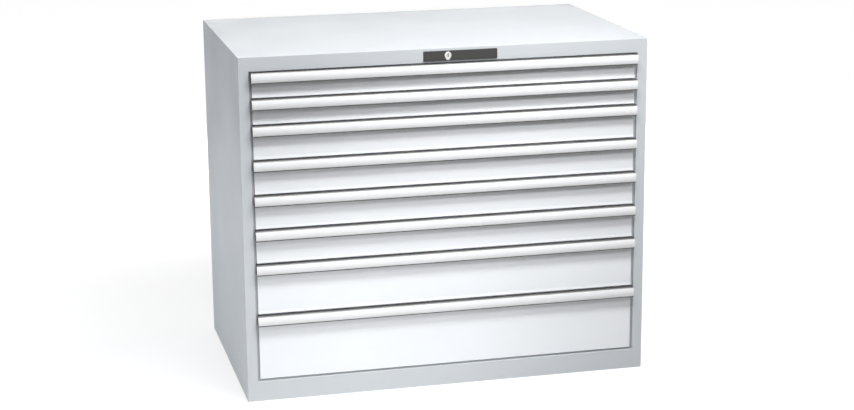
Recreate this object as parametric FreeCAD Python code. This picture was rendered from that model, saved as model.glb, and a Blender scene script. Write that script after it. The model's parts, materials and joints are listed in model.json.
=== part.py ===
"""Modular drawer cabinet in sheet steel: a welded housing, eight drawers on telescopic
runners, and a central lock whose bar bars every drawer.

Millimetres. +X to the right as seen from the front, +Y to the back, +Z up. The origin is
the centre of the footprint, handles included, on the floor.
"""
import FreeCAD, Part
import math
import os
from FreeCAD import Vector

# Housing
WIDTH = 1193.0
DEPTH = 725.0
BASE_RAIL = 59.0
TOP_RAIL = 41.0
FRONT_HEIGHTS = [75.0, 75.0, 100.0, 100.0, 100.0, 100.0, 150.0, 200.0]  # from the top down
HOUSING_SHEET = 1.5
FOLD_RADIUS = 1.4
STILE = 30.0
RETURN_DEPTH = 22.0
LEDGE_DEPTH = 5.0
LEDGE_WIDTH = 6.0
LEDGE_RISE = 5.0
FLOOR_FLANGE = 45.0
SIDE_FOOT = 28.0
REAR_FLANGE = 25.0
BACK_SHEET = 1.2

# Floor anchors, reached through wider holes in the base sheet
ANCHOR_HOLE = 11.0
ACCESS_HOLE = 24.0
ANCHOR_FROM_SIDE = 70.0
ANCHOR_FROM_EDGE = 24.0

# Uprights inside the side panels, slotted at the height grid that the runners hook into
UPRIGHT_FACE = 40.0
UPRIGHT_REACH = 26.5
UPRIGHT_SETBACK = 24.0
UPRIGHT_TOP_GAP = 2.0
GRID = 25.0
GRID_SLOT = 14.0
GRID_SLOT_WIDTH = 3.0

# Runners: a fixed channel, a roller carriage that moves half as far, and the drawer's channel
RUNNER_HEIGHT = 30.0
RUNNER_SHEET = 1.5
CHANNEL_WIDTH = 10.0
RUNNER_LIFT = 8.0
RUNNER_SETBACK = 30.0
RUNNER_REAR_GAP = 35.0
DRAWER_CHANNEL_SETBACK = 8.0
CARRIAGE_BAR = 2.0
CARRIAGE_GAP = 0.5
CARRIAGE_HEIGHT = 20.0
CARRIAGE_LENGTH = 600.0
CARRIAGE_SETBACK = 34.0
ROLLER_WIDTH = 7.0
ROLLER_PLAY = 0.3
ROLLER_END = 25.0
ROLLER_SPACING = 195.0
AXLE_RADIUS = 3.0
AXLE_PLAY = 0.05
HOOK_LENGTH = 4.0
HOOK_HEIGHT = 12.0
HOOK_WIDTH = 2.0

# Drawer bodies
DRAWER_SHEET = 1.2
TRAY_DEPTH = 614.4
TRAY_LIFT = 6.0
TRAY_HEADROOM = 25.0
HEM_WIDTH = 4.0
UNIT = 17.0
DIVIDER_SLOT = 3.0
DIVIDER_SLOT_MARGIN = 12.0
DIVIDER_SLOT_END = 40.0

# Drawer fronts
FRONT_RECESS = 1.5
FRONT_SIDE_GAP = 7.0
FRONT_TOP_GAP = 1.5
FRONT_BOTTOM_GAP = 1.5
LOWEST_FRONT_GAP = 7.0
FRONT_FOLD = 20.5
FRONT_FOLD_RADIUS = 1.0
FLARE_HEIGHT = 8.5
FLARE_REACH = 1.6
SIDE_FLANGE_LAP = 12.0
TOP_FLANGE_LAP = 6.0
BOTTOM_FLANGE = 12.0

# Handle strips: a ledge on top and a crowned wall in front of it, hollow below for the fingers.
# Angles on the crowned wall are from straight up towards the front
HANDLE_DEPTH = 21.5
HANDLE_END_GAP = 3.6
HANDLE_RADIUS = 30.0
HANDLE_LEDGE_ANGLE = 57.0
HANDLE_CURL = 118.0
HANDLE_WALL = 1.8
HANDLE_EDGE_RADIUS = 3.0
HANDLE_PLATE_DROP = 13.0
LABEL_SHEET = 1.5
LABEL_PLAY = 0.1
LABEL_TOP_ANGLE = 63.0
LABEL_BOTTOM_ANGLE = 112.0
CAP_LENGTH = 8.0
CAP_EDGE_RADIUS = 0.5

# Lock, at the middle of the top front rail
LOCK_COVER_LEFT = 70.7
LOCK_COVER_RIGHT = 144.6
LOCK_COVER_HEIGHT = 28.4
LOCK_COVER_DROP = 1.4
LOCK_COVER_THICKNESS = 3.0
LOCK_COVER_CORNER = 1.6
LOCK_COVER_EDGE_RADIUS = 0.6
CYLINDER_RADIUS = 9.9
CYLINDER_TAIL_RADIUS = 6.0
CYLINDER_TAIL_DROP = 8.4
CYLINDER_PROUD = 1.0
CYLINDER_DEPTH = 34.0
CYLINDER_EDGE_RADIUS = 0.4
PLUG_RADIUS = 6.5
PLUG_PROUD = 0.4
PLUG_EDGE_RADIUS = 0.3
KEYWAY_HEIGHT = 10.4
KEYWAY_DROP = 4.4
KEYWAY_WIDTH = 2.6
KEYWAY_DEPTH = 22.0
LOCK_PLAY = 0.1
SPINDLE_RADIUS = 3.5
CAM_DEPTH = 3.0
CAM_MARGIN = 2.0
LOCK_LIFT = 12.0
CRANK_PIN_RADIUS = 2.0
CRANK_PLAY = 0.45
LINK_THICKNESS = 2.0
LINK_HEIGHT = 24.0
LINK_MARGIN = 6.5
LINK_SETBACK = 60.0
LINK_END_CLEARANCE = 13.7
BAR_THICKNESS = 3.0
BAR_WIDTH = 18.0
BAR_INSET = 20.0
BAR_PLAY = 0.3
BAR_FLOOR_GAP = 0.5
BAR_PIN_RADIUS = 2.5
BAR_PIN_PROUD = 1.5
LUG_SIDE = 1.5
LUG_DEPTH = 6.0
LUG_DROP = 5.0
LUG_RISE = 3.0
TAB_REACH = 23.0
TAB_WIDTH = 12.0
TAB_LIFT = 41.0
CATCH_LIFT = 46.0
CATCH_HEIGHT = 10.0
CATCH_LENGTH = 10.0
CATCH_GAP = 4.0

# How far a cutter passes the faces that it cuts, and how near a found edge has to be
PAST = 1.0
NEAR = 0.001

# Places worked out from the sizes
HEIGHT = BASE_RAIL + sum(FRONT_HEIGHTS) + TOP_RAIL
HANDLE_PROUD = HANDLE_DEPTH - FRONT_RECESS
HANDLE_RECESS_RADIUS = HANDLE_RADIUS - LABEL_SHEET - LABEL_PLAY
HANDLE_INNER_RADIUS = HANDLE_RECESS_RADIUS - HANDLE_WALL
LEFT = -WIDTH / 2
RIGHT = WIDTH / 2
FRONT = (HANDLE_PROUD - DEPTH) / 2
BACK = FRONT + DEPTH
OPENING_TOP = HEIGHT - TOP_RAIL
TOP_SHEET_UNDER = HEIGHT - HOUSING_SHEET

UPRIGHT_INNER = LEFT + HOUSING_SHEET + UPRIGHT_REACH
CABINET_CHANNEL_EDGE = UPRIGHT_INNER + CHANNEL_WIDTH
CARRIAGE_LEFT = CABINET_CHANNEL_EDGE + CARRIAGE_GAP
CARRIAGE_RIGHT = CARRIAGE_LEFT + CARRIAGE_BAR
DRAWER_CHANNEL_EDGE = CARRIAGE_RIGHT + CARRIAGE_GAP
TRAY_LEFT = DRAWER_CHANNEL_EDGE + CHANNEL_WIDTH
TRAY_FRONT = FRONT + FRONT_RECESS + FRONT_FOLD
TRAY_BACK = TRAY_FRONT + TRAY_DEPTH
DRAWER_CHANNEL_FRONT = TRAY_FRONT + DRAWER_CHANNEL_SETBACK
RUNNER_FRONT = FRONT + RUNNER_SETBACK
RUNNER_BACK = BACK - RUNNER_REAR_GAP
CARRIAGE_FRONT = FRONT + CARRIAGE_SETBACK
CARRIAGE_BACK = CARRIAGE_FRONT + CARRIAGE_LENGTH
ROLLER_RADIUS = RUNNER_HEIGHT / 2 - RUNNER_SHEET - ROLLER_PLAY

FRONT_LEFT = LEFT + STILE + FRONT_SIDE_GAP
FRONT_PLANE = FRONT + FRONT_RECESS
HANDLE_LEFT = LEFT + STILE + HANDLE_END_GAP
LOCK_HEIGHT = HEIGHT - TOP_RAIL / 2
LOCK_COVER_TOP = LOCK_HEIGHT - LOCK_COVER_DROP + LOCK_COVER_HEIGHT / 2
UPRIGHT_REAR_FACE = FRONT + UPRIGHT_SETBACK + UPRIGHT_FACE
BAR_FRONT = UPRIGHT_REAR_FACE + BAR_PLAY
BAR_LEFT = LEFT + BAR_INSET
BAR_RIGHT = BAR_LEFT + BAR_THICKNESS
BAR_PIN_X = (BAR_LEFT + BAR_RIGHT) / 2
LINK_FRONT = FRONT + LINK_SETBACK
LINK_BACK = LINK_FRONT + LINK_THICKNESS
CRANK_RADIUS = LOCK_LIFT / math.sqrt(2)
CRANK_SLOT_HALF = CRANK_PIN_RADIUS + CRANK_PLAY
LINK_BOTTOM = LOCK_HEIGHT - CRANK_RADIUS - CRANK_SLOT_HALF - LINK_MARGIN
BAR_PIN_Z = LINK_BOTTOM + (LINK_HEIGHT - LOCK_LIFT) / 2

X = Vector(1, 0, 0)
Y = Vector(0, 1, 0)
Z = Vector(0, 0, 1)


def box(x0, x1, y0, y1, z0, z1):
    """A block between two corners."""
    return Part.makeBox(x1 - x0, y1 - y0, z1 - z0, Vector(x0, y0, z0))


def fused(solids):
    """One solid out of pieces that share faces or volume, with the seams between them removed."""
    first, *others = solids
    return first.fuse(others).removeSplitter() if others else first


def mirrored(shape):
    """The same piece on the other side of the cabinet."""
    return shape.mirror(Vector(0, 0, 0), X)


def both_sides(shape):
    return [shape, mirrored(shape)]


def extruded(edges, along):
    """A closed outline of edges, pushed out into a solid."""
    return Part.Face(Part.Wire(edges)).extrude(along)


def polygon(points, along):
    corners = [Vector(*p) for p in points]
    edges = [Part.LineSegment(a, b).toShape() for a, b in zip(corners, corners[1:] + corners[:1])]
    return extruded(edges, along)


def rod(radius, start, end):
    """A round bar between two points."""
    along = end - start
    return Part.makeCylinder(radius, along.Length, start, along)


def edges_at(shape, direction, places):
    """Straight edges along a direction that pass through one of the places, given on the
    other two axes as a dict of axis name to value."""
    found = []
    for edge in shape.Edges:
        if edge.Curve.TypeId != "Part::GeomLine":
            continue
        if edge.Curve.Direction.cross(direction).Length > NEAR:
            continue
        middle = edge.CenterOfMass
        for place in places:
            if all(abs(getattr(middle, axis) - value) < NEAR for axis, value in place.items()):
                found.append(edge)
                break
    return found


def face_rounded(shape, axis, value, radius):
    """The shape with every edge of its flat end face rounded. The face stands across "X" or "Y"."""
    edges = []
    for edge in shape.Edges:
        bounds = edge.BoundBox
        low, high = getattr(bounds, axis + "Min"), getattr(bounds, axis + "Max")
        if abs(low - value) < NEAR and abs(high - value) < NEAR:
            edges.append(edge)
    return shape.makeFillet(radius, edges)


def slots():
    """Each drawer's number, slot bottom and front height, from the top down."""
    top = OPENING_TOP
    for number, height in enumerate(FRONT_HEIGHTS, start=1):
        top -= height
        yield number, top, height


# Housing


def side_panel():
    """Left side: wall, front stile, rear flange and foot flange, folded from one sheet. The stile's return
    has a ledge that shows in the gap beside the drawer fronts."""
    t = HOUSING_SHEET
    inner = LEFT + STILE
    ledge_end = inner + LEDGE_WIDTH
    ledge_back = FRONT + LEDGE_DEPTH + t
    wall = box(LEFT, LEFT + t, FRONT + t, BACK, 0, TOP_SHEET_UNDER)
    foot_of_stile = box(LEFT, inner, FRONT, FRONT + t, 0, BASE_RAIL)
    stile = fused([
        box(LEFT, inner, FRONT, FRONT + t, BASE_RAIL, OPENING_TOP),
        box(inner - t, inner, FRONT, ledge_back, BASE_RAIL, OPENING_TOP),
        box(inner - t, ledge_end, ledge_back - t, ledge_back, BASE_RAIL, OPENING_TOP),
        box(ledge_end - t, ledge_end, ledge_back - t, FRONT + RETURN_DEPTH, BASE_RAIL, OPENING_TOP),
    ])
    folds = [dict(x=inner, y=FRONT), dict(x=ledge_end, y=ledge_back - t)]
    stile = stile.makeFillet(FOLD_RADIUS, edges_at(stile, Z, folds))
    rear = box(LEFT, LEFT + REAR_FLANGE, BACK - t, BACK, 0, TOP_SHEET_UNDER)
    foot = box(LEFT, LEFT + SIDE_FOOT, FRONT + t, BACK, 0, t)
    panel = fused([wall, foot_of_stile, stile, rear, foot])
    return panel.makeFillet(FOLD_RADIUS, edges_at(panel, Z, [dict(x=LEFT, y=FRONT), dict(x=LEFT, y=BACK)]))


def top_panel():
    """Top sheet with the front rail folded down from it, and the rail's return above the drawers."""
    t = HOUSING_SHEET
    left, right = LEFT + STILE, RIGHT - STILE
    middle = fused([
        box(left, right, FRONT, FRONT + t, OPENING_TOP, TOP_SHEET_UNDER),
        box(left, right, FRONT, FRONT + RETURN_DEPTH, OPENING_TOP, OPENING_TOP + t),
    ])
    middle = middle.makeFillet(FOLD_RADIUS, edges_at(middle, X, [dict(y=FRONT, z=OPENING_TOP)]))
    panel = fused([
        box(LEFT, RIGHT, FRONT, BACK, TOP_SHEET_UNDER, HEIGHT),
        box(LEFT, left, FRONT, FRONT + t, OPENING_TOP, TOP_SHEET_UNDER),
        box(right, RIGHT, FRONT, FRONT + t, OPENING_TOP, TOP_SHEET_UNDER),
        middle,
    ])
    panel = panel.makeFillet(
        FOLD_RADIUS,
        edges_at(panel, Z, [dict(x=LEFT, y=FRONT), dict(x=RIGHT, y=FRONT)])
        + edges_at(panel, X, [dict(y=FRONT, z=HEIGHT)])
        + edges_at(panel, Y, [dict(x=LEFT, z=HEIGHT), dict(x=RIGHT, z=HEIGHT)]),
    )
    return panel.cut(cylinder_outline(LOCK_PLAY, FRONT - PAST, FRONT + t + PAST))


def base_pan():
    """Base sheet that carries the uprights, with the front and rear rails folded down to the floor, and a
    low ledge that shows in the gap below the lowest drawer front."""
    t = HOUSING_SHEET
    left, right = LEFT + STILE, RIGHT - STILE
    inner_back = BACK - t
    pan = fused([
        box(left, right, FRONT, inner_back, BASE_RAIL - t, BASE_RAIL),
        box(
            left + LEDGE_WIDTH, right - LEDGE_WIDTH,
            FRONT + LEDGE_DEPTH, FRONT + LEDGE_DEPTH + t,
            BASE_RAIL - t, BASE_RAIL + LEDGE_RISE,
        ),
        box(LEFT + t, RIGHT - t, FRONT + RETURN_DEPTH, inner_back, BASE_RAIL - t, BASE_RAIL),
        box(left, right, FRONT, FRONT + t, 0, BASE_RAIL),
        box(left, right, FRONT, FRONT + FLOOR_FLANGE, 0, t),
        box(LEFT + t, RIGHT - t, inner_back - t, inner_back, t, BASE_RAIL),
        box(left, right, inner_back - FLOOR_FLANGE, inner_back, 0, t),
    ])
    pan = pan.makeFillet(FOLD_RADIUS, edges_at(pan, X, [dict(y=FRONT, z=BASE_RAIL)]))
    for x in (LEFT + ANCHOR_FROM_SIDE, RIGHT - ANCHOR_FROM_SIDE):
        for y in (FRONT + ANCHOR_FROM_EDGE, BACK - ANCHOR_FROM_EDGE):
            pan = pan.cut([
                rod(ANCHOR_HOLE / 2, Vector(x, y, -PAST), Vector(x, y, t + PAST)),
                rod(ACCESS_HOLE / 2, Vector(x, y, BASE_RAIL - t - PAST), Vector(x, y, BASE_RAIL + PAST)),
            ])
    return pan


def back_panel():
    """Rear sheet, spot-welded to the inside of the side panels' rear flanges."""
    inner = BACK - HOUSING_SHEET
    left, right = LEFT + HOUSING_SHEET, RIGHT - HOUSING_SHEET
    return box(left, right, inner - BACK_SHEET, inner, BASE_RAIL, TOP_SHEET_UNDER)


def upright(front):
    """One folded column on the left side, with a slot at each step of the height grid."""
    t = HOUSING_SHEET
    bottom, top = BASE_RAIL, OPENING_TOP - UPRIGHT_TOP_GAP
    left, right = LEFT + t, UPRIGHT_INNER
    web = box(right - t, right, front, front + UPRIGHT_FACE, bottom, top)
    flanges = [
        box(left, right, front, front + t, bottom, top),
        box(left, right, front + UPRIGHT_FACE - t, front + UPRIGHT_FACE, bottom, top),
    ]
    y = front + (UPRIGHT_FACE - GRID_SLOT_WIDTH) / 2
    steps = int((top - bottom) / GRID)
    cutters = []
    for step in range(1, steps + 1):
        low = bottom + step * GRID - GRID_SLOT / 2
        high = low + GRID_SLOT
        if high < top:
            cutters.append(box(right - t - PAST, right + PAST, y, y + GRID_SLOT_WIDTH, low, high))
    return fused([web, *flanges]).cut(cutters)


def upright_fronts():
    """Front faces of the front and the rear uprights."""
    return [FRONT + UPRIGHT_SETBACK, RUNNER_BACK - UPRIGHT_FACE]


def uprights():
    return [piece for front in upright_fronts() for piece in both_sides(upright(front))]


# Runners


def channel(back, edge, front, rear, bottom):
    """A runner channel: its web stands at x = back, and its flanges reach to x = edge."""
    t = math.copysign(RUNNER_SHEET, edge - back)
    top = bottom + RUNNER_HEIGHT
    low, high = sorted((back, edge))
    web_low, web_high = sorted((back, back + t))
    return fused([
        box(web_low, web_high, front, rear, bottom, top),
        box(low, high, front, rear, bottom, bottom + RUNNER_SHEET),
        box(low, high, front, rear, top - RUNNER_SHEET, top),
    ])


def cabinet_rail(slot_bottom):
    """Left fixed runner of one drawer, with a hook in a slot of each upright."""
    bottom = slot_bottom + RUNNER_LIFT
    rail = channel(UPRIGHT_INNER, CABINET_CHANNEL_EDGE, RUNNER_FRONT, RUNNER_BACK, bottom)
    hook_tip = UPRIGHT_INNER - HOOK_LENGTH
    low = slot_bottom + GRID - HOOK_HEIGHT / 2
    hooks = []
    for front in upright_fronts():
        y = front + (UPRIGHT_FACE - HOOK_WIDTH) / 2
        hooks.append(box(hook_tip, UPRIGHT_INNER, y, y + HOOK_WIDTH, low, low + HOOK_HEIGHT))
    return fused([rail, *hooks])


def cabinet_rails():
    return [piece for _, bottom, _ in slots() for piece in both_sides(cabinet_rail(bottom))]


def roller_places():
    """Roller centres along the carriage: two run in the fixed channel and two in the drawer's."""
    return {
        "fixed": [CARRIAGE_BACK - ROLLER_END, CARRIAGE_BACK - ROLLER_END - ROLLER_SPACING],
        "drawer": [CARRIAGE_FRONT + ROLLER_END, CARRIAGE_FRONT + ROLLER_END + ROLLER_SPACING],
    }


def carriage(slot_bottom):
    """Left roller carriage of one drawer: a bar with its axles, and the rollers that turn on them."""
    middle = slot_bottom + RUNNER_LIFT + RUNNER_HEIGHT / 2
    low = middle - CARRIAGE_HEIGHT / 2
    bar = box(CARRIAGE_LEFT, CARRIAGE_RIGHT, CARRIAGE_FRONT, CARRIAGE_BACK, low, low + CARRIAGE_HEIGHT)
    axles, rollers = [], []
    for kind, places in roller_places().items():
        near, way = (CARRIAGE_LEFT, -1) if kind == "fixed" else (CARRIAGE_RIGHT, 1)
        inner = near + way * AXLE_PLAY
        outer = inner + way * ROLLER_WIDTH
        beyond = outer + way * PAST
        for y in places:
            axles.append(rod(AXLE_RADIUS, Vector(near, y, middle), Vector(outer, y, middle)))
            wheel = rod(ROLLER_RADIUS, Vector(inner, y, middle), Vector(outer, y, middle))
            bore = rod(AXLE_RADIUS + AXLE_PLAY, Vector(near, y, middle), Vector(beyond, y, middle))
            rollers.append(wheel.cut(bore))
    return [fused([bar, *axles]), *rollers]


def carriages(slot_bottom):
    return [piece for solid in carriage(slot_bottom) for piece in both_sides(solid)]


# Drawers


def divider_slots(wall_bottom, wall_top):
    """Cutters for the rows of slots that take dividers, in all four walls of a tray."""
    low, high = wall_bottom + DIVIDER_SLOT_MARGIN, wall_top - DIVIDER_SLOT_MARGIN
    half = DIVIDER_SLOT / 2
    reach = 2 * DRAWER_SHEET
    cutters = []
    steps = int((TRAY_DEPTH - 2 * DIVIDER_SLOT_END) / (2 * UNIT))
    start = (TRAY_FRONT + TRAY_BACK) / 2 - steps * UNIT
    for step in range(steps + 1):
        y = start + 2 * UNIT * step
        cutters += both_sides(box(TRAY_LEFT - reach, TRAY_LEFT + reach, y - half, y + half, low, high))
    steps = int((-2 * TRAY_LEFT - 2 * DIVIDER_SLOT_END) / (2 * UNIT))
    for step in range(steps + 1):
        x = (2 * step - steps) * UNIT
        cutters.append(box(x - half, x + half, TRAY_BACK - reach, TRAY_BACK + reach, low, high))
    return cutters


def tray_top(slot_bottom, front_height):
    return slot_bottom + front_height - TRAY_HEADROOM + TRAY_LIFT


def tray(slot_bottom, front_height):
    """Drawer body of seven welded pieces: floor, two sides with a hem along the top, front and rear walls,
    and two runner channels. The left side carries the catch that the lock bar's tab stands in front of."""
    t = DRAWER_SHEET
    bottom = slot_bottom + TRAY_LIFT
    top = tray_top(slot_bottom, front_height)
    runner_bottom = slot_bottom + RUNNER_LIFT
    catch_front = BAR_FRONT + TAB_WIDTH + CATCH_GAP
    catch_back = catch_front + CATCH_LENGTH
    low = slot_bottom + CATCH_LIFT
    catch = box(DRAWER_CHANNEL_EDGE, TRAY_LEFT, catch_front, catch_back, low, low + CATCH_HEIGHT)
    inner = TRAY_LEFT + t
    floor = box(TRAY_LEFT, -TRAY_LEFT, TRAY_FRONT, TRAY_BACK, bottom, bottom + t)
    side = [
        box(TRAY_LEFT, inner, TRAY_FRONT, TRAY_BACK, bottom + t, top),
        box(TRAY_LEFT, TRAY_LEFT + HEM_WIDTH, TRAY_FRONT + t, TRAY_BACK - t, top - t, top),
    ]
    sides = [fused([*side, catch]), mirrored(fused(side))]
    front_wall = box(inner, -inner, TRAY_FRONT, TRAY_FRONT + t, bottom + t, top)
    rear_wall = box(inner, -inner, TRAY_BACK - t, TRAY_BACK, bottom + t, top)
    cutters = divider_slots(runner_bottom + RUNNER_HEIGHT, top + DIVIDER_SLOT_MARGIN - HEM_WIDTH)
    slotted = [wall.cut(cutters) for wall in (*sides, rear_wall)]
    runner = channel(TRAY_LEFT, DRAWER_CHANNEL_EDGE, DRAWER_CHANNEL_FRONT, TRAY_BACK, runner_bottom)
    return [floor, front_wall, *slotted, *both_sides(runner)]


def is_lowest(slot_bottom):
    return abs(slot_bottom - BASE_RAIL) < NEAR


def front_span(slot_bottom, front_height):
    """Lower and upper edge of a drawer front in its slot."""
    gap = LOWEST_FRONT_GAP if is_lowest(slot_bottom) else FRONT_BOTTOM_GAP
    return slot_bottom + gap, slot_bottom + front_height - FRONT_TOP_GAP


def drawer_front(slot_bottom, front_height):
    """Front sheet, folded back on all four sides and in again, where flanges meet the drawer's body.
    All but the lowest flare out a little at the foot."""
    t = DRAWER_SHEET
    low, high = front_span(slot_bottom, front_height)
    flare = 0.0 if is_lowest(slot_bottom) else FLARE_REACH
    y0, y1 = FRONT_PLANE, TRAY_FRONT
    knee = low + FLARE_HEIGHT
    x = FRONT_LEFT
    body_top = tray_top(slot_bottom, front_height)
    outline = [
        (x, y1, high), (x, y0, high), (x, y0, knee), (x, y0 - flare, low), (x, y1, low),
        (x, y1, low + BOTTOM_FLANGE), (x, y1 - t, low + BOTTOM_FLANGE), (x, y1 - t, low + t),
        (x, y0 + t - flare, low + t), (x, y0 + t, knee), (x, y0 + t, high - t), (x, y1 - t, high - t),
        (x, y1 - t, body_top - TOP_FLANGE_LAP), (x, y1, body_top - TOP_FLANGE_LAP),
    ]
    if is_lowest(slot_bottom):
        outline = [point for point in outline if point[2] != knee]
    sheet = polygon(outline, X * (-2 * x))
    sides = both_sides(box(x, x + t, y0, y1, low, high))
    flanges = both_sides(box(x, TRAY_LEFT + SIDE_FLANGE_LAP, y1 - t, y1, low, high))
    front = fused([sheet, *sides, *flanges])
    corners = [dict(x=x, y=y0), dict(x=-x, y=y0)]
    return front.makeFillet(
        FRONT_FOLD_RADIUS, edges_at(front, Z, corners) + edges_at(front, X, [dict(y=y0, z=high)])
    )


def handle_frame(slot_bottom, front_height):
    """Top edge of a handle and the centre height of its round."""
    top = front_span(slot_bottom, front_height)[1]
    return top, top - HANDLE_RADIUS * math.cos(math.radians(HANDLE_LEDGE_ANGLE))


def on_round(x, centre_z, radius, angle):
    """A point on the handle's round."""
    a = math.radians(angle)
    centre_y = FRONT_PLANE - HANDLE_DEPTH + HANDLE_RADIUS
    return Vector(x, centre_y - radius * math.sin(a), centre_z + radius * math.cos(a))


def arc(x, centre_z, radius, start, end):
    """Arc of the handle's round between two angles."""
    points = [on_round(x, centre_z, radius, a) for a in (start, (start + end) / 2, end)]
    return Part.Arc(*points).toShape()


def joined(points):
    """Straight edges through points in turn."""
    return [Part.LineSegment(a, b).toShape() for a, b in zip(points, points[1:])]


def lip_end(x, centre_z):
    """The rounded end of the lip, from the outer to the inner side of the handle's wall."""
    outer, inner = (on_round(x, centre_z, r, HANDLE_CURL) for r in (HANDLE_RADIUS, HANDLE_INNER_RADIUS))
    a = math.radians(HANDLE_CURL)
    onwards = Vector(0, -math.cos(a), -math.sin(a)) * ((HANDLE_RADIUS - HANDLE_INNER_RADIUS) / 2)
    return Part.Arc(outer, (outer + inner) / 2 + onwards, inner).toShape()


def under_ledge(radius):
    """The angle at which a round of some radius meets the underside of the ledge."""
    rise = HANDLE_RADIUS * math.cos(math.radians(HANDLE_LEDGE_ANGLE)) - HANDLE_WALL
    return math.degrees(math.acos(rise / radius))


def handle(slot_bottom, front_height):
    """Handle extrusion: a plate against the front sheet, a ledge, and a wall recessed for the label."""
    x = HANDLE_LEFT
    top, centre = handle_frame(slot_bottom, front_height)
    foot = centre - HANDLE_PLATE_DROP
    plate = FRONT_PLANE - HANDLE_WALL
    outer, recess, inner = HANDLE_RADIUS, HANDLE_RECESS_RADIUS, HANDLE_INNER_RADIUS
    edge = on_round(x, centre, outer, HANDLE_LEDGE_ANGLE)
    outline = [
        arc(x, centre, outer, HANDLE_LEDGE_ANGLE, LABEL_TOP_ANGLE),
        *joined([on_round(x, centre, r, LABEL_TOP_ANGLE) for r in (outer, recess)]),
        arc(x, centre, recess, LABEL_TOP_ANGLE, LABEL_BOTTOM_ANGLE),
        *joined([on_round(x, centre, r, LABEL_BOTTOM_ANGLE) for r in (recess, outer)]),
        arc(x, centre, outer, LABEL_BOTTOM_ANGLE, HANDLE_CURL),
        lip_end(x, centre),
        arc(x, centre, inner, HANDLE_CURL, under_ledge(inner)),
        *joined([
            on_round(x, centre, inner, under_ledge(inner)),
            Vector(x, plate, top - HANDLE_WALL),
            Vector(x, plate, foot),
            Vector(x, FRONT_PLANE, foot),
            Vector(x, FRONT_PLANE, top),
            edge,
        ]),
    ]
    extrusion = extruded(outline, X * (-2 * x))
    return extrusion.makeFillet(HANDLE_EDGE_RADIUS, edges_at(extrusion, X, [dict(y=edge.y, z=top)]))


def label_strip(slot_bottom, front_height):
    """White label behind its clear cover, snapped into the recess of the handle."""
    x = HANDLE_LEFT
    _, centre = handle_frame(slot_bottom, front_height)
    outer, inner = HANDLE_RADIUS, HANDLE_RADIUS - LABEL_SHEET
    play = math.degrees(LABEL_PLAY / HANDLE_RADIUS)
    start, end = LABEL_TOP_ANGLE + play, LABEL_BOTTOM_ANGLE - play
    outline = [
        arc(x, centre, outer, start, end),
        *joined([on_round(x, centre, r, end) for r in (outer, inner)]),
        arc(x, centre, inner, end, start),
        *joined([on_round(x, centre, r, start) for r in (inner, outer)]),
    ]
    return extruded(outline, X * (-2 * x))


def end_cap(slot_bottom, front_height):
    """Cap in the hollow at a handle's left end, against its plate and ledge, with a rounded outer face."""
    x = HANDLE_LEFT
    top, centre = handle_frame(slot_bottom, front_height)
    plate = FRONT_PLANE - HANDLE_WALL
    radius = HANDLE_INNER_RADIUS - LABEL_PLAY
    lip, edge = (on_round(x, centre, radius, angle) for angle in (HANDLE_CURL, under_ledge(radius)))
    outline = [
        arc(x, centre, radius, under_ledge(radius), HANDLE_CURL),
        *joined([lip, Vector(x, plate, lip.z), Vector(x, plate, edge.z), edge]),
    ]
    return face_rounded(extruded(outline, X * CAP_LENGTH), "X", x, CAP_EDGE_RADIUS)


# Lock


def cylinder_outline(play, front, back):
    """The lock cylinder's outline as a solid: a round head that narrows to a smaller round tail."""
    head, tail = CYLINDER_RADIUS + play, CYLINDER_TAIL_RADIUS + play
    lean = math.asin((head - tail) / CYLINDER_TAIL_DROP)
    flank = Vector(math.cos(lean), 0, -math.sin(lean))
    other = Vector(-flank.x, 0, flank.z)
    high = Vector(0, front, LOCK_HEIGHT)
    low = high - Z * CYLINDER_TAIL_DROP
    outline = [
        Part.Arc(high + flank * head, high + Z * head, high + other * head).toShape(),
        *joined([high + other * head, low + other * tail]),
        Part.Arc(low + other * tail, low - Z * tail, low + flank * tail).toShape(),
        *joined([low + flank * tail, high + flank * head]),
    ]
    return extruded(outline, Y * (back - front))


def lock_cover():
    """Dark plate on the front rail, around the lock cylinder."""
    front = FRONT - LOCK_COVER_THICKNESS
    bottom = LOCK_COVER_TOP - LOCK_COVER_HEIGHT
    plate = box(-LOCK_COVER_LEFT, LOCK_COVER_RIGHT, front, FRONT, bottom, LOCK_COVER_TOP)
    ends = (-LOCK_COVER_LEFT, LOCK_COVER_RIGHT)
    corners = [dict(x=x, z=z) for x in ends for z in (bottom, LOCK_COVER_TOP)]
    plate = plate.makeFillet(LOCK_COVER_CORNER, edges_at(plate, Y, corners))
    plate = face_rounded(plate, "Y", front, LOCK_COVER_EDGE_RADIUS)
    return plate.cut(cylinder_outline(LOCK_PLAY, front - PAST, FRONT + PAST))


def cylinder_face():
    """Plane of the lock cylinder's face, a little in front of the cover."""
    return FRONT - LOCK_COVER_THICKNESS - CYLINDER_PROUD


def lock_cylinder():
    """Fixed lock body with the bore that the plug turns in."""
    front, back = cylinder_face(), FRONT + CYLINDER_DEPTH
    body = face_rounded(cylinder_outline(0, front, back), "Y", front, CYLINDER_EDGE_RADIUS)
    axis_front, axis_back = Vector(0, front - PAST, LOCK_HEIGHT), Vector(0, back + PAST, LOCK_HEIGHT)
    return body.cut(rod(PLUG_RADIUS + AXLE_PLAY, axis_front, axis_back))


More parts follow.
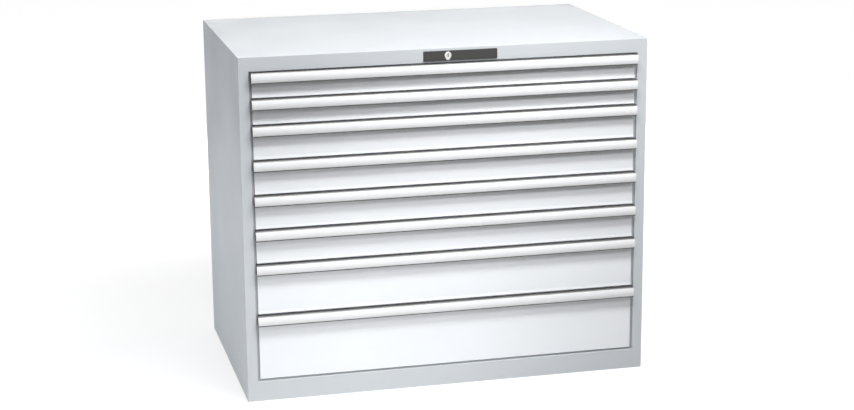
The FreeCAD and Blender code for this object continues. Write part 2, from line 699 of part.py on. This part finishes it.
def lock_plug():
    """Turning plug with its keyway, spindle, cam and crank pin."""
    front = cylinder_face() - PLUG_PROUD
    spindle_back = LINK_FRONT - CRANK_PLAY
    cam_front = spindle_back - CAM_DEPTH

    def at(y, x=0.0, z=0.0):
        return Vector(x, y, LOCK_HEIGHT + z)

    barrel = rod(PLUG_RADIUS, at(front), at(FRONT + CYLINDER_DEPTH))
    barrel = face_rounded(barrel, "Y", front, PLUG_EDGE_RADIUS)
    half, low = KEYWAY_WIDTH / 2, LOCK_HEIGHT - KEYWAY_DROP
    keyway = box(-half, half, front - PAST, front + KEYWAY_DEPTH, low, low + KEYWAY_HEIGHT)
    spindle = rod(SPINDLE_RADIUS, at(FRONT + CYLINDER_DEPTH), at(spindle_back))
    side = LOCK_LIFT / 2
    hub = rod(SPINDLE_RADIUS + CAM_MARGIN, at(cam_front), at(spindle_back))
    boss = rod(CRANK_PIN_RADIUS + CAM_MARGIN, at(cam_front, side, -side), at(spindle_back, side, -side))
    pin = rod(CRANK_PIN_RADIUS, at(cam_front, side, -side), at(LINK_BACK + CRANK_PIN_RADIUS, side, -side))
    return fused([barrel.cut(keyway), spindle, hub, boss, pin])


def lock_link():
    """Flat link behind the front rail: an upright slot for the crank pin, and a slot at 45 degrees
    that turns the link's sideways travel into the lock bar's lift."""
    left = LEFT + HOUSING_SHEET + LINK_END_CLEARANCE
    side = LOCK_LIFT / 2
    half = CRANK_SLOT_HALF
    right = side + half + LINK_MARGIN
    strip = box(left, right, LINK_FRONT, LINK_BACK, LINK_BOTTOM, LINK_BOTTOM + LINK_HEIGHT)
    lowest = LOCK_HEIGHT - CRANK_RADIUS - half
    highest = LOCK_HEIGHT - side + half
    crank_slot = box(side - half, side + half, LINK_FRONT - PAST, LINK_BACK + PAST, lowest, highest)
    radius = BAR_PIN_RADIUS + BAR_PLAY
    start = Vector(BAR_PIN_X, LINK_FRONT - PAST, BAR_PIN_Z)
    end = start + Vector(LOCK_LIFT, 0, LOCK_LIFT)
    across = Vector(1, 0, -1).normalize() * radius
    beyond = Vector(1, 0, 1).normalize() * radius
    slope = extruded(
        [
            *joined([start + across, end + across]),
            Part.Arc(end + across, end + beyond, end - across).toShape(),
            *joined([end - across, start - across]),
            Part.Arc(start - across, start - beyond, start + across).toShape(),
        ],
        Y * (LINK_THICKNESS + 2 * PAST),
    )
    return strip.cut([crank_slot, slope])


def lock_bar():
    """Upright bar behind the left front upright, with its drive pin and one tab for each drawer."""
    bottom = BASE_RAIL + BAR_FLOOR_GAP
    top = BAR_PIN_Z + BAR_PIN_RADIUS + LUG_RISE
    bar = box(BAR_LEFT, BAR_RIGHT, BAR_FRONT, BAR_FRONT + BAR_WIDTH, bottom, top)
    lug_left, lug_right = BAR_LEFT - LUG_SIDE, BAR_RIGHT + LUG_SIDE
    lug = box(lug_left, lug_right, BAR_FRONT, BAR_FRONT + LUG_DEPTH, BAR_PIN_Z - LUG_DROP, top)
    pin_front = Vector(BAR_PIN_X, LINK_FRONT - BAR_PIN_PROUD, BAR_PIN_Z)
    pin_back = Vector(BAR_PIN_X, BAR_FRONT + LUG_DEPTH / 2, BAR_PIN_Z)
    pin = rod(BAR_PIN_RADIUS, pin_front, pin_back)
    tabs = []
    tab_right, tab_back = BAR_RIGHT + TAB_REACH, BAR_FRONT + TAB_WIDTH
    for _, slot_bottom, _ in slots():
        low = slot_bottom + TAB_LIFT
        tabs.append(box(BAR_RIGHT, tab_right, BAR_FRONT, tab_back, low, low + BAR_THICKNESS))
    return [fused([bar, lug, pin]), *tabs]


def pieces():
    """Every node's name with its solids."""
    left_side = side_panel()
    made = {
        "side_panel_left": [left_side],
        "side_panel_right": [mirrored(left_side)],
        "top_panel": [top_panel()],
        "base_pan": [base_pan()],
        "back_panel": [back_panel()],
        "uprights": uprights(),
        "cabinet_rails": cabinet_rails(),
        "lock_cover": [lock_cover()],
        "lock_cylinder": [lock_cylinder()],
        "lock_plug": [lock_plug()],
        "lock_link": [lock_link()],
        "lock_bar": lock_bar(),
    }
    for number, slot_bottom, front_height in slots():
        name = f"drawer_{number}_"
        made[name + "body"] = tray(slot_bottom, front_height)
        made[name + "front"] = [drawer_front(slot_bottom, front_height)]
        made[name + "handle"] = [handle(slot_bottom, front_height)]
        made[name + "label_strip"] = [label_strip(slot_bottom, front_height)]
        made[name + "end_caps"] = both_sides(end_cap(slot_bottom, front_height))
        made[name + "carriages"] = carriages(slot_bottom)
    return made


os.makedirs("parts", exist_ok=True)
for node, solids in pieces().items():
    shape = solids[0] if len(solids) == 1 else Part.makeCompound(solids)
    if not shape.isValid() or any(solid.Volume <= 0 for solid in shape.Solids):
        raise ValueError(f"{node} is not a valid solid")
    shape.exportStep(f"parts/{node}.step")
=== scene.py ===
"""Looks of the modular drawer cabinet: paint, metal and plastic finishes, studio light and camera."""

import json
import math

import bmesh
import bpy
from mathutils import Matrix, Quaternion, Vector


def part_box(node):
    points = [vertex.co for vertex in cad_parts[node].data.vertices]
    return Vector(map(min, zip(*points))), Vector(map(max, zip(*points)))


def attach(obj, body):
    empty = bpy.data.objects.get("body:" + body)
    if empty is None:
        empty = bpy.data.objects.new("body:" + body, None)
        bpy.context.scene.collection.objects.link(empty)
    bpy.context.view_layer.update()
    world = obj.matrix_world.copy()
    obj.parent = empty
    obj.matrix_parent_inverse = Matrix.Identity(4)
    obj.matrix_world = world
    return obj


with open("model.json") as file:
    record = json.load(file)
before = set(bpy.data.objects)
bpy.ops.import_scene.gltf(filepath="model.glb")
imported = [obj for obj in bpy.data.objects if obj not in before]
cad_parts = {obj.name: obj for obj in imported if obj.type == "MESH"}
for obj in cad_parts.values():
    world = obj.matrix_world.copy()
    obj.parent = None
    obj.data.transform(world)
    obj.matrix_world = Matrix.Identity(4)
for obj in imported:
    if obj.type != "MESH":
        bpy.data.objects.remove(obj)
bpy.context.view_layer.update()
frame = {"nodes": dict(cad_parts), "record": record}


# Helper for node trees


class Finish:
    """A material with a Principled shader, and short calls for the nodes that the finishes share."""

    def __init__(self, name, **settings):
        self.material = bpy.data.materials.new(name)
        self.material.use_nodes = True
        self.tree = self.material.node_tree
        self.shader = self.tree.nodes["Principled BSDF"]
        for socket, value in settings.items():
            self.shader.inputs[socket.replace("_", " ").title().replace("Ior", "IOR")].default_value = value
        self.place = self.add("ShaderNodeTexCoord").outputs["Object"]

    def add(self, kind, **settings):
        node = self.tree.nodes.new(kind)
        for key, value in settings.items():
            setattr(node, key, value)
        return node

    def link(self, source, target):
        self.tree.links.new(source, target)

    def stretched(self, scale):
        """Object coordinates multiplied on each axis."""
        node = self.add("ShaderNodeMapping")
        node.inputs["Scale"].default_value = scale
        self.link(self.place, node.inputs["Vector"])
        return node.outputs["Vector"]

    def noise(self, scale, detail=2.0, rough=0.5, place=None):
        node = self.add("ShaderNodeTexNoise")
        node.inputs["Scale"].default_value = scale
        node.inputs["Detail"].default_value = detail
        node.inputs["Roughness"].default_value = rough
        self.link(place or self.place, node.inputs["Vector"])
        return node.outputs["Fac"]

    def cells(self, scale):
        node = self.add("ShaderNodeTexVoronoi")
        node.inputs["Scale"].default_value = scale
        self.link(self.place, node.inputs["Vector"])
        return node.outputs["Color"]

    def spread(self, value, low, high, start=0.3, end=0.7):
        """A value mapped from start..end to low..high."""
        node = self.add("ShaderNodeMapRange")
        for socket, number in zip(("From Min", "From Max", "To Min", "To Max"), (start, end, low, high)):
            node.inputs[socket].default_value = number
        self.link(value, node.inputs["Value"])
        return node.outputs["Result"]

    def between(self, value, first, second):
        """A colour between two, by a value."""
        node = self.add("ShaderNodeMix", data_type="RGBA")
        self.link(value, node.inputs["Factor"])
        for socket, colour in (("A", first), ("B", second)):
            target = next(s for s in node.inputs if s.name == socket and s.type == "RGBA")
            if isinstance(colour, bpy.types.NodeSocket):
                self.link(colour, target)
            else:
                target.default_value = (*colour, 1.0)
        return next(s for s in node.outputs if s.type == "RGBA")

    def maths(self, operation, first, second):
        node = self.add("ShaderNodeMath", operation=operation)
        for socket, value in zip(node.inputs, (first, second)):
            if isinstance(value, bpy.types.NodeSocket):
                self.link(value, socket)
            else:
                socket.default_value = value
        return node.outputs["Value"]

    def bumped(self, height, distance, strength, normal=None):
        node = self.add("ShaderNodeBump")
        node.inputs["Distance"].default_value = distance
        node.inputs["Strength"].default_value = strength
        self.link(height, node.inputs["Height"])
        if normal is not None:
            self.link(normal, node.inputs["Normal"])
        return node.outputs["Normal"]

    def use(self, **sockets):
        for socket, source in sockets.items():
            self.link(source, self.shader.inputs[socket.replace("_", " ")])
        return self.material


def shaded(colour, factor):
    return tuple(min(1.0, c * factor) for c in colour)


# Finishes

WELD_LINE = 0.584
WELD_PITCH = 0.06
WELD_RADIUS = 0.0036
WELD_DIP = 0.0004


def weld_marks(finish, face):
    """0 in the middle of each spot weld down the rear flanges, which lie behind face, and 1 elsewhere."""
    axis = finish.add("ShaderNodeSeparateXYZ")
    finish.link(finish.place, axis.inputs["Vector"])
    across = finish.maths("SUBTRACT", finish.maths("ABSOLUTE", axis.outputs["X"], 0.0), WELD_LINE)
    along = finish.maths("PINGPONG", axis.outputs["Z"], WELD_PITCH / 2)
    square = finish.maths("ADD", finish.maths("MULTIPLY", across, across), finish.maths("MULTIPLY", along, along))
    rim = finish.spread(finish.maths("POWER", square, 0.5), 0.0, 1.0, 0.5 * WELD_RADIUS, WELD_RADIUS)
    return finish.maths("MAXIMUM", rim, finish.maths("LESS_THAN", axis.outputs["Y"], face))


def powder_coat(name, colour, gloss_low, gloss_high, welded_face=None):
    """Powder coat on sheet steel: orange peel, a slow unevenness of the sheet and of the sheen, and on a
    welded face the shallow marks of the spot welds."""
    finish = Finish(name)
    speck = finish.spread(finish.noise(900.0, 1.0), 0.0, 1.0)
    tone = finish.between(speck, shaded(colour, 0.985), shaded(colour, 1.0))
    cloud = finish.spread(finish.noise(2.3, 3.0), 0.0, 1.0)
    tone = finish.between(cloud, tone, shaded(colour, 1.012))
    sheen = finish.spread(finish.noise(5.0, 4.0), gloss_low, gloss_high)
    sheet = finish.bumped(finish.noise(7.0, 1.0), 0.004, 0.05)
    if welded_face is not None:
        sheet = finish.bumped(weld_marks(finish, welded_face), WELD_DIP, 1.0, sheet)
    peel = finish.bumped(finish.noise(420.0, 1.5), 0.00012, 0.5, sheet)
    return finish.use(Base_Color=tone, Roughness=sheen, Normal=peel)


def anodised(name, colour):
    """Extruded and anodised aluminium: die lines along X."""
    finish = Finish(name, metallic=1.0)
    lines = finish.noise(1.0, 2.0, 0.6, finish.stretched((3.0, 2600.0, 2600.0)))
    tone = finish.between(finish.spread(lines, 0.0, 1.0), shaded(colour, 0.94), colour)
    sheen = finish.spread(lines, 0.34, 0.46)
    return finish.use(Base_Color=tone, Roughness=sheen, Normal=finish.bumped(lines, 0.00003, 0.5))


def label_card(name, colour):
    """White label card behind a clear cover: paper grain below a smooth coat."""
    finish = Finish(name, coat_weight=0.6, coat_roughness=0.22)
    grain = finish.noise(700.0, 4.0, 0.7)
    tone = finish.between(finish.spread(grain, 0.0, 1.0), shaded(colour, 0.97), colour)
    sheen = finish.spread(grain, 0.55, 0.68)
    return finish.use(Base_Color=tone, Roughness=sheen, Normal=finish.bumped(grain, 0.00004, 0.3))


def moulded(name, colour):
    """Moulded plastic with a fine spark-eroded grain."""
    finish = Finish(name)
    grain = finish.noise(1500.0, 3.0, 0.6)
    tone = finish.between(finish.spread(grain, 0.0, 1.0), shaded(colour, 0.9), shaded(colour, 1.1))
    sheen = finish.spread(grain, 0.42, 0.58)
    return finish.use(Base_Color=tone, Roughness=sheen, Normal=finish.bumped(grain, 0.00006, 0.6))


def zinc(name, colour):
    """Zinc-plated rolled steel: rolling lines along Y and a faint cloudy tint."""
    finish = Finish(name, metallic=1.0)
    lines = finish.noise(1.0, 3.0, 0.6, finish.stretched((900.0, 6.0, 900.0)))
    cloud = finish.spread(finish.noise(18.0, 3.0), 0.0, 1.0)
    tone = finish.between(cloud, colour, (colour[0] * 0.94, colour[1] * 0.97, colour[2] * 1.03))
    sheen = finish.spread(lines, 0.28, 0.44)
    return finish.use(Base_Color=tone, Roughness=sheen, Normal=finish.bumped(lines, 0.00003, 0.5))


def galvanised(name, colour):
    """Hot-dip galvanised steel with its spangle of crystals."""
    finish = Finish(name, metallic=1.0)
    crystal = finish.cells(95.0)
    split = finish.add("ShaderNodeSeparateColor")
    finish.link(crystal, split.inputs["Color"])
    tone = finish.between(split.outputs["Red"], shaded(colour, 0.82), shaded(colour, 1.1))
    sheen = finish.spread(split.outputs["Green"], 0.3, 0.55, 0.0, 1.0)
    return finish.use(Base_Color=tone, Roughness=sheen, Normal=finish.bumped(finish.noise(300.0), 0.00005, 0.4))


def turned(name, colour, height, face):
    """Nickel-plated brass with rings from the lathe around the lock's axis, and painted shade, near black, in the
    keyway behind the plug's face."""
    finish = Finish(name, metallic=1.0)
    split = finish.add("ShaderNodeSeparateXYZ")
    finish.link(finish.place, split.inputs["Vector"])
    rise = finish.maths("SUBTRACT", split.outputs["Z"], height)
    square = finish.maths("ADD", finish.maths("POWER", split.outputs["X"], 2.0), finish.maths("POWER", rise, 2.0))
    ring = finish.maths("MULTIPLY", finish.maths("POWER", square, 0.5), 4000.0)
    join = finish.add("ShaderNodeCombineXYZ")
    finish.link(ring, join.inputs["X"])
    rings = finish.noise(1.0, 2.0, 0.6, join.outputs["Vector"])
    tone = finish.between(finish.spread(rings, 0.0, 1.0), shaded(colour, 0.92), colour)
    # painted shade: the inside of the keyway, behind the plug's face and near the axis, coloured near black
    narrow = finish.maths("LESS_THAN", finish.maths("ABSOLUTE", split.outputs["X"], 0.0), KEYWAY_HALF)
    inside = finish.maths("GREATER_THAN", split.outputs["Y"], face + KEYWAY_LIP)
    central = finish.maths("LESS_THAN", square, KEYWAY_REACH ** 2)
    painted_keyway_shade = finish.maths("MULTIPLY", finish.maths("MULTIPLY", narrow, inside), central)
    tone = finish.between(painted_keyway_shade, tone, KEYWAY_SHADE_COLOUR)
    sheen = finish.spread(rings, 0.22, 0.36)
    return finish.use(Base_Color=tone, Roughness=sheen, Normal=finish.bumped(rings, 0.00003, 0.5))


JOINTS = {joint["name"]: joint for joint in frame["record"]["behaviour"]["joints"]}
LOCK_AXIS = JOINTS["lock_turn"]["pos_m"][2]
LOCK_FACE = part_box("lock_plug")[0].y
KEYWAY_HALF, KEYWAY_LIP, KEYWAY_REACH = 0.00135, 0.0004, 0.0064
# painted shade: the near-black colour of the keyway's inside
KEYWAY_SHADE_COLOUR = (0.02, 0.02, 0.02)
REAR_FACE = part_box("side_panel_left")[1].y - 0.0003
HOUSING_COLOUR = (0.598, 0.629, 0.657)
FRONT_COLOUR = (0.89, 0.913, 0.94)

FINISHES = {
    "housing_paint": powder_coat("housing_paint", HOUSING_COLOUR, 0.36, 0.46, REAR_FACE),
    "front_paint": powder_coat("front_paint", FRONT_COLOUR, 0.36, 0.46),
    "drawer_paint": powder_coat("drawer_paint", HOUSING_COLOUR, 0.40, 0.50),
    "handle_metal": anodised("handle_metal", (0.13, 0.13, 0.128)),
    "label": label_card("label", (0.825, 0.835, 0.845)),
    "dark_plastic": moulded("dark_plastic", (0.034, 0.034, 0.032)),
    "runner_steel": zinc("runner_steel", (0.62, 0.63, 0.64)),
    "upright_steel": galvanised("upright_steel", (0.60, 0.61, 0.62)),
    "lock_metal": turned("lock_metal", (0.80, 0.79, 0.78), LOCK_AXIS, LOCK_FACE),
}

SLOT_OF = {part["node"]: part["material_slot"] for part in frame["record"]["subparts"]}
for node, piece in frame["nodes"].items():
    if not piece.material_slots:
        piece.data.materials.append(None)
    for place in piece.material_slots:
        place.material = FINISHES[SLOT_OF[node]]


# Grey strips on the ledges beside and below the drawer fronts, painted shade: a dark sheet where the gaps around
# the fronts are only in shade

LEDGE_FACE = -0.3475
STILE_LEDGE = (0.5607, 0.5663)
BASE_LEDGE = (0.0593, 0.0638)
STILE_STRIP_ENDS = (0.0645, 0.9575)
BASE_STRIP_ENDS = (-0.5663, 0.5663)
STRIP_THICKNESS = 0.0008
STRIP_SUNK = 0.00005
STRIP_EDGE = 0.0003
# painted shade: a grey sheet whose colour stands in for the shade in the gaps around the drawer fronts
gap_shade_strip_paint = moulded("gap_shade_strip_paint", (0.36, 0.372, 0.385))


def add_gap_shade_strip(name, across, ends, upright):
    """A grey strip with bevelled front edges on a ledge, painted shade for the gap beside the fronts: upright on
    a stile, or along the base.
    """
    low, high = across
    back, front = LEDGE_FACE + STRIP_SUNK, LEDGE_FACE - STRIP_THICKNESS
    outline = [
        (low, back), (low, front + STRIP_EDGE), (low + STRIP_EDGE, front),
        (high - STRIP_EDGE, front), (high, front + STRIP_EDGE), (high, back),
    ]
    points = [(u, y, end) if upright else (end, y, u) for end in ends for u, y in outline]
    n = len(outline)
    faces = [(i, (i + 1) % n, n + (i + 1) % n, n + i) for i in range(n)]
    faces += [tuple(range(n)), tuple(range(2 * n - 1, n - 1, -1))]
    mesh = bpy.data.meshes.new(name)
    mesh.from_pydata(points, [], faces)
    shape = bmesh.new()
    shape.from_mesh(mesh)
    bmesh.ops.recalc_face_normals(shape, faces=shape.faces)
    shape.to_mesh(mesh)
    shape.free()
    mesh.materials.append(gap_shade_strip_paint)
    strip = bpy.data.objects.new(name, mesh)
    bpy.context.scene.collection.objects.link(strip)
    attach(strip, "housing")


add_gap_shade_strip("gap_shade_strip_right", STILE_LEDGE, STILE_STRIP_ENDS, True)
add_gap_shade_strip("gap_shade_strip_left", (-STILE_LEDGE[1], -STILE_LEDGE[0]), STILE_STRIP_ENDS, True)
add_gap_shade_strip("gap_shade_strip_base", BASE_LEDGE, BASE_STRIP_ENDS, False)


# Blind rivets that close the rear sheet along the top, the foot and a stiffener in the middle

RIVET_RINGS = ((0.0042, 0.0), (0.0041, 0.0005), (0.0032, 0.00105), (0.0018, 0.0013), (0.0012, 0.00125), (0.0011, 0.0007))
RIVET_SIDES = 20
RIVET_ACROSS = [-0.54 + 0.135 * step for step in range(9)]
RIVET_ROWS = (0.076, 0.981)
RIVET_MIDDLE = [0.186 + 0.114 * step for step in range(7)]


def add_rivets():
    """Domed heads with the hole that the mandrel leaves, all in one piece, on the rear sheet's outer face."""
    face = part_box("back_panel")[1].y
    places = [(x, z) for z in RIVET_ROWS for x in RIVET_ACROSS] + [(0.0, z) for z in RIVET_MIDDLE]
    points, faces = [], []
    for x, z in places:
        first = len(points)
        for radius, rise in RIVET_RINGS:
            for side in range(RIVET_SIDES):
                turn = 2 * math.pi * side / RIVET_SIDES
                points.append((x + radius * math.cos(turn), face + rise, z + radius * math.sin(turn)))
        for ring in range(len(RIVET_RINGS) - 1):
            low, high = first + ring * RIVET_SIDES, first + (ring + 1) * RIVET_SIDES
            for side in range(RIVET_SIDES):
                after = (side + 1) % RIVET_SIDES
                faces.append((low + side, low + after, high + after, high + side))
        last = first + (len(RIVET_RINGS) - 1) * RIVET_SIDES
        faces.append(tuple(range(last, last + RIVET_SIDES)))
    mesh = bpy.data.meshes.new("back_rivets")
    mesh.from_pydata(points, [], faces)
    shape = bmesh.new()
    shape.from_mesh(mesh)
    bmesh.ops.recalc_face_normals(shape, faces=shape.faces)
    for face in shape.faces:
        face.smooth = len(face.verts) == 4
        if face.normal.y < -0.5:
            face.normal_flip()
    shape.to_mesh(mesh)
    shape.free()
    mesh.materials.append(FINISHES["housing_paint"])
    rivets = bpy.data.objects.new("back_rivets", mesh)
    bpy.context.scene.collection.objects.link(rivets)
    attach(rivets, "housing")


add_rivets()


# Studio

FLOOR_REACH = 20.0
FLOOR_BOUNCE = 0.5
FLOOR_COLOUR = 0.34
NEAR_GLOW, FAR_GLOW = 0.74, 0.98
GLOW_FROM, GLOW_TO = 0.9, 2.6


def looked_at(tree):
    """1 for rays that show the background: from the camera, from a reflection or through glass."""
    path = tree.nodes.new("ShaderNodeLightPath").outputs
    found = path["Is Camera Ray"]
    for ray in ("Is Glossy Ray", "Is Transmission Ray"):
        node = tree.nodes.new("ShaderNodeMath")
        node.operation = "MAXIMUM"
        tree.links.new(found, node.inputs[0])
        tree.links.new(path[ray], node.inputs[1])
        found = node.outputs["Value"]
    return found


def floor_material():
    """Pale floor: diffuse, and for the camera, reflections and glass with a glow that takes it to white
    away from the cabinet."""
    material = bpy.data.materials.new("floor")
    material.use_nodes = True
    tree = material.node_tree
    tree.nodes.clear()

    def add(kind, **settings):
        node = tree.nodes.new(kind)
        for key, value in settings.items():
            setattr(node, key, value)
        return node

    place = add("ShaderNodeTexCoord")
    distance = add("ShaderNodeVectorMath", operation="LENGTH")
    tree.links.new(place.outputs["Object"], distance.inputs[0])
    rise = add("ShaderNodeMapRange", interpolation_type="SMOOTHSTEP")
    for socket, number in zip(("From Min", "From Max", "To Min", "To Max"),
                              (GLOW_FROM, GLOW_TO, NEAR_GLOW, FAR_GLOW)):
        rise.inputs[socket].default_value = number
    tree.links.new(distance.outputs["Value"], rise.inputs["Value"])
    glow = add("ShaderNodeEmission")
    tree.links.new(rise.outputs["Result"], glow.inputs["Strength"])
    seen = add("ShaderNodeBsdfDiffuse")
    seen.inputs["Color"].default_value = (FLOOR_COLOUR, FLOOR_COLOUR, FLOOR_COLOUR, 1.0)
    both = add("ShaderNodeAddShader")
    tree.links.new(seen.outputs["BSDF"], both.inputs[0])
    tree.links.new(glow.outputs["Emission"], both.inputs[1])
    unseen = add("ShaderNodeBsdfDiffuse")
    unseen.inputs["Color"].default_value = (FLOOR_BOUNCE, FLOOR_BOUNCE, FLOOR_BOUNCE, 1.0)
    mix = add("ShaderNodeMixShader")
    tree.links.new(looked_at(tree), mix.inputs["Fac"])
    tree.links.new(unseen.outputs["BSDF"], mix.inputs[1])
    tree.links.new(both.outputs["Shader"], mix.inputs[2])
    tree.links.new(mix.outputs["Shader"], add("ShaderNodeOutputMaterial").inputs["Surface"])
    return material


def add_floor():
    r = FLOOR_REACH
    mesh = bpy.data.meshes.new("floor")
    mesh.from_pydata([(-r, -r, 0), (r, -r, 0), (r, r, 0), (-r, r, 0)], [], [(0, 1, 2, 3)])
    mesh.materials.append(floor_material())
    floor = bpy.data.objects.new("floor", mesh)
    bpy.context.scene.collection.objects.link(floor)


add_floor()

AMBIENT = 0.02


def sky():
    """Even studio surroundings: dim as a light, white to the camera, in reflections and through glass."""
    world = bpy.data.worlds.new("studio")
    bpy.context.scene.world = world
    world.use_nodes = True
    tree = world.node_tree
    tree.nodes.clear()

    def background(strength):
        node = tree.nodes.new("ShaderNodeBackground")
        node.inputs["Color"].default_value = (1.0, 1.0, 1.0, 1.0)
        node.inputs["Strength"].default_value = strength
        return node.outputs["Background"]

    mix = tree.nodes.new("ShaderNodeMixShader")
    tree.links.new(looked_at(tree), mix.inputs["Fac"])
    tree.links.new(background(AMBIENT), mix.inputs[1])
    tree.links.new(background(1.0), mix.inputs[2])
    output = tree.nodes.new("ShaderNodeOutputWorld")
    tree.links.new(mix.outputs["Shader"], output.inputs["Surface"])


sky()

WHITE_LIGHT = (1.0, 1.0, 1.0)
COOL_LIGHT = (0.91, 1.0, 1.10)
LAMPS = {
    "right": dict(at=(2.0, -2.6, 2.6), to=(0.1, -0.35, 0.5), size=(1.2, 0.9), watts=16.0),
    "key": dict(at=(1.0, -3.2, 2.6), to=(0.05, -0.35, 0.5), size=(1.2, 0.9), watts=10.0),
    "steep": dict(at=(0.1, -1.7, 3.2), to=(0.0, -0.35, 0.5), size=(2.0, 0.6), watts=81.0),
    "steepest": dict(at=(-0.05, -1.15, 3.4), to=(0.0, -0.35, 0.5), size=(2.0, 0.4), watts=12.0),
    "side_strip": dict(
        at=(-1.7, 0.0, 0.48), to=(-0.6, 0.0, 0.48), size=(1.6, 0.15), watts=4.2, roll=28.0, colour=COOL_LIGHT,
    ),
    "top": dict(at=(-0.6, 1.6, 2.8), to=(-0.1, 0.1, 1.0), size=(1.6, 1.0), watts=5.0),
    "low_left_spot": dict(at=(-1.7, -3.8, 0.5), to=(-0.40, -0.35, 0.05), size=(0.3,), cone=26.0, watts=212.0),
    "middle_spot": dict(at=(0.4, -3.2, 3.0), to=(-0.05, -0.35, 0.50), size=(0.3,), cone=20.0, watts=66.0),
    "top_right_spot": dict(at=(0.9, -3.0, 3.0), to=(0.30, -0.35, 0.85), size=(0.3,), cone=20.0, watts=108.0),
    "far_right": dict(at=(3.0, 0.7, 0.75), to=(0.6, 0.0, 0.55), size=(1.8, 0.9), watts=45.0),
    "behind": dict(at=(0.6, 3.3, 0.75), to=(0.0, 0.4, 0.55), size=(2.4, 0.9), watts=65.0),
}


def add_lamp(name, at, to, watts, size, cone=None, roll=0.0, colour=WHITE_LIGHT):
    """A softbox with a width and height, turned by roll, or with a cone angle a spot with a soft edge."""
    if cone is None:
        light = bpy.data.lights.new(name, "AREA")
        light.shape = "RECTANGLE"
        light.size, light.size_y = size
    else:
        light = bpy.data.lights.new(name, "SPOT")
        light.spot_size = math.radians(cone)
        light.spot_blend = 1.0
        light.shadow_soft_size = size[0]
    light.energy = watts
    light.color = colour
    lamp = bpy.data.objects.new(name, light)
    lamp.location = at
    lamp.rotation_mode = "QUATERNION"
    aimed = (Vector(to) - Vector(at)).to_track_quat("-Z", "Y")
    lamp.rotation_quaternion = aimed @ Quaternion((0.0, 0.0, 1.0), math.radians(roll))
    lamp.visible_camera = False
    bpy.context.scene.collection.objects.link(lamp)


for name, lamp in LAMPS.items():
    add_lamp(name, **lamp)


# Camera, fitted to the photograph's corners of the housing

IMAGE_WIDTH = 854
SENSOR_WIDTH = 36.0
EYE = (-1.3320, -5.5133, 1.8874)
YAW, PITCH, ROLL = 0.241, 0.247, -0.008
FOCAL_PIXELS = 1911.7


def add_camera():
    forward = Vector((
        math.sin(YAW) * math.cos(PITCH), math.cos(YAW) * math.cos(PITCH), -math.sin(PITCH),
    ))
    level = Vector((math.cos(YAW), -math.sin(YAW), 0.0))
    upright = level.cross(forward)
    right = level * math.cos(ROLL) + upright * math.sin(ROLL)
    up = upright * math.cos(ROLL) - level * math.sin(ROLL)
    data = bpy.data.cameras.new("camera")
    data.sensor_width = SENSOR_WIDTH
    data.lens = FOCAL_PIXELS * SENSOR_WIDTH / IMAGE_WIDTH
    camera = bpy.data.objects.new("camera", data)
    turn = Matrix((right, up, -forward)).transposed().to_4x4()
    camera.matrix_world = Matrix.Translation(EYE) @ turn
    bpy.context.scene.collection.objects.link(camera)
    bpy.context.scene.camera = camera


add_camera()
bpy.context.scene.view_settings.view_transform = "Standard"
